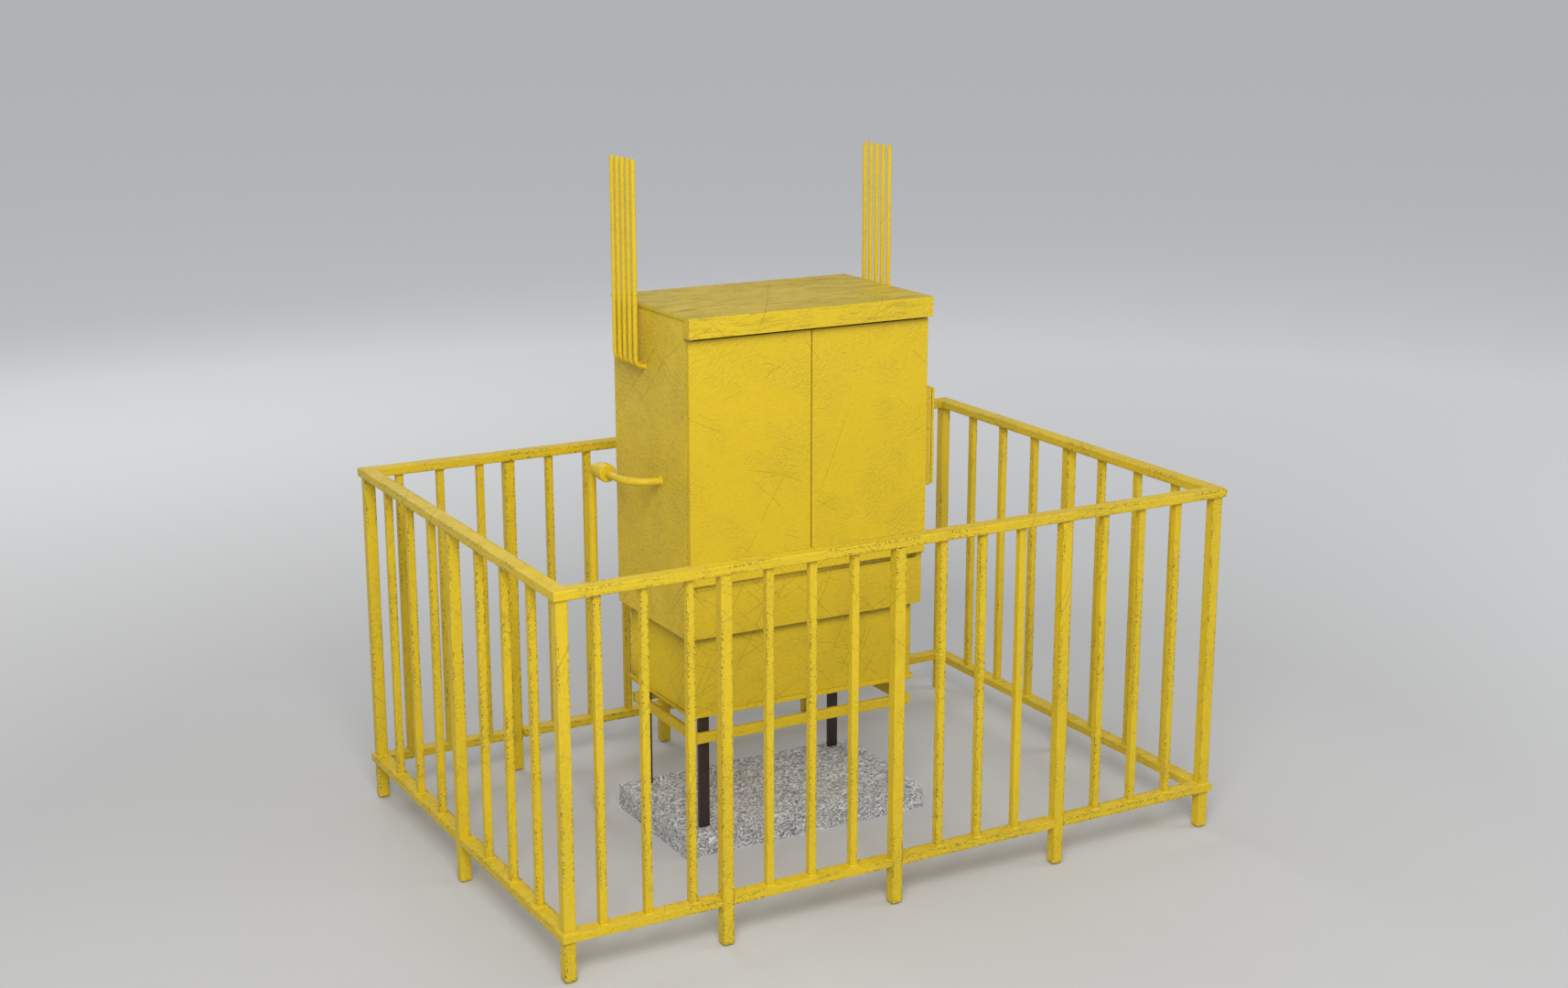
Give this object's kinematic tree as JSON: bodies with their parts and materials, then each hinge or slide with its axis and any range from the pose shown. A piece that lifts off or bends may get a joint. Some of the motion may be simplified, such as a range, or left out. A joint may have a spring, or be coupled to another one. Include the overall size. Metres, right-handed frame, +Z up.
{
  "type": "gas pressure-regulating cabinet",
  "caption": "Sheet-steel gas pressure-regulating cabinet on legs and a slab, with two doors, side vent pipes, a gas line inside and a guard railing round it",
  "frame": {"origin": "on the ground, in the middle of the railing's footprint", "axes": "X along the long side of the railing, to the right as the doors are faced; Y to the back, away from the doors; Z up"},
  "size_m": [3.214, 2.24, 3.04],
  "materials": {
    "railing_paint": "worn yellow paint, satin",
    "cabinet_paint": "worn yellow paint, satin",
    "pipe_paint": "yellow paint, satin",
    "leg_paint": "dark brown gloss paint",
    "concrete": "rough cast concrete, flaking",
    "seal_rubber": "matt",
    "zinc_steel": "zinc plated",
    "catch_plastic": "matt black",
    "valve_metal": "dull plated brass",
    "lever_paint": "yellow dipped grip",
    "fitting_paint": "grey enamel",
    "knob_plastic": "red, semi-matt",
    "cap_brass": "turned brass",
    "gauge_metal": "brushed steel case",
    "needle_paint": "matt black"
  },
  "bodies": {
    "station": {"cabinet_apron": "cabinet_paint", "cabinet_floor": "cabinet_paint", "cabinet_left_wall": "cabinet_paint", "cabinet_rear_wall": "cabinet_paint", "cabinet_right_wall": "cabinet_paint", "concrete_slab": "concrete", "door_catch_magnets": "catch_plastic", "door_frame": "cabinet_paint", "door_hinge_pivots": "zinc_steel", "fence_bars_front": "railing_paint", "fence_bars_left": "railing_paint", "fence_bars_rear": "railing_paint", "fence_bars_right": "railing_paint", "fence_bottom_rails_long": "railing_paint", "fence_bottom_rails_short": "railing_paint", "fence_corner_posts": "railing_paint", "fence_long_side_posts": "railing_paint", "fence_short_side_posts": "railing_paint", "fence_top_rail_front": "railing_paint", "fence_top_rail_left": "railing_paint", "fence_top_rail_rear": "railing_paint", "fence_top_rail_right": "railing_paint", "gas_filter": "fitting_paint", "inlet_gauge": "gauge_metal", "inlet_pipe": "pipe_paint", "inlet_riser": "pipe_paint", "inlet_valve": "valve_metal", "instrument_box": "cabinet_paint", "insulating_joint": "pipe_paint", "leg_front_left": "leg_paint", "leg_front_right": "leg_paint", "leg_rear_left": "leg_paint", "leg_rear_right": "leg_paint", "leg_tie_bars": "cabinet_paint", "line_props": "zinc_steel", "outlet_gauge": "gauge_metal", "outlet_pipe": "pipe_paint", "outlet_valve": "valve_metal", "pipe_nipples": "pipe_paint", "plinth_edge_strips": "cabinet_paint", "plinth_floor": "cabinet_paint", "plinth_panels": "cabinet_paint", "pressure_regulator": "fitting_paint", "relief_valve": "cap_brass", "roof_cap": "cabinet_paint", "shutoff_valve": "fitting_paint", "vent_pipes_left": "pipe_paint", "vent_pipes_right": "pipe_paint"},
    "left_door": {"left_door": "cabinet_paint", "left_door_seal": "seal_rubber"},
    "right_door": {"right_door": "cabinet_paint", "right_door_seal": "seal_rubber"},
    "inlet_lever": {"inlet_valve_lever": "lever_paint"},
    "outlet_lever": {"outlet_valve_lever": "lever_paint"},
    "reset_knob": {"shutoff_reset_knob": "knob_plastic"},
    "adjuster": {"regulator_adjuster": "cap_brass"},
    "inlet_needle": {"inlet_gauge_needle": "needle_paint"},
    "outlet_needle": {"outlet_gauge_needle": "needle_paint"},
    "box_lid": {"instrument_box_lid": "cabinet_paint"}
  },
  "joints": [
    {"name": "left_door_hinge", "type": "hinge", "parent": "station", "child": "left_door", "pos_m": [-0.611, -0.2805, 1.7865], "axis": [0, 0, -1], "range_deg": [0, 110]},
    {"name": "right_door_hinge", "type": "hinge", "parent": "station", "child": "right_door", "pos_m": [0.555, -0.2805, 1.7865], "axis": [0, 0, 1], "range_deg": [0, 110]},
    {"name": "inlet_valve_turn", "type": "hinge", "parent": "station", "child": "inlet_lever", "pos_m": [-0.49, -0.016, 1.7068], "axis": [0, 0, 1], "range_deg": [0, 90]},
    {"name": "outlet_valve_turn", "type": "hinge", "parent": "station", "child": "outlet_lever", "pos_m": [0.292, -0.016, 1.7178], "axis": [0, 0, 1], "range_deg": [0, 90]},
    {"name": "reset_knob_pull", "type": "slide", "parent": "station", "child": "reset_knob", "axis": [0, 0, -1], "range_m": [0, 0.012], "stiffness_N_per_m": 300, "springref_m": -0.012},
    {"name": "pressure_adjustment", "type": "hinge", "parent": "station", "child": "adjuster", "pos_m": [0.108, -0.016, 1.928], "axis": [0, 0, 1], "range_deg": [-180, 180]},
    {"name": "inlet_gauge_dial", "type": "hinge", "parent": "station", "child": "inlet_needle", "pos_m": [-0.413, -0.024, 1.837], "axis": [0, 1, 0], "range_deg": [0, 270]},
    {"name": "outlet_gauge_dial", "type": "hinge", "parent": "station", "child": "outlet_needle", "pos_m": [0.357, -0.024, 1.837], "axis": [0, 1, 0], "range_deg": [0, 270]},
    {"name": "box_lid_hinge", "type": "hinge", "parent": "station", "child": "box_lid", "pos_m": [0.6535, 0.085, 1.762], "axis": [0, 0, 1], "range_deg": [0, 100]}
  ]
}
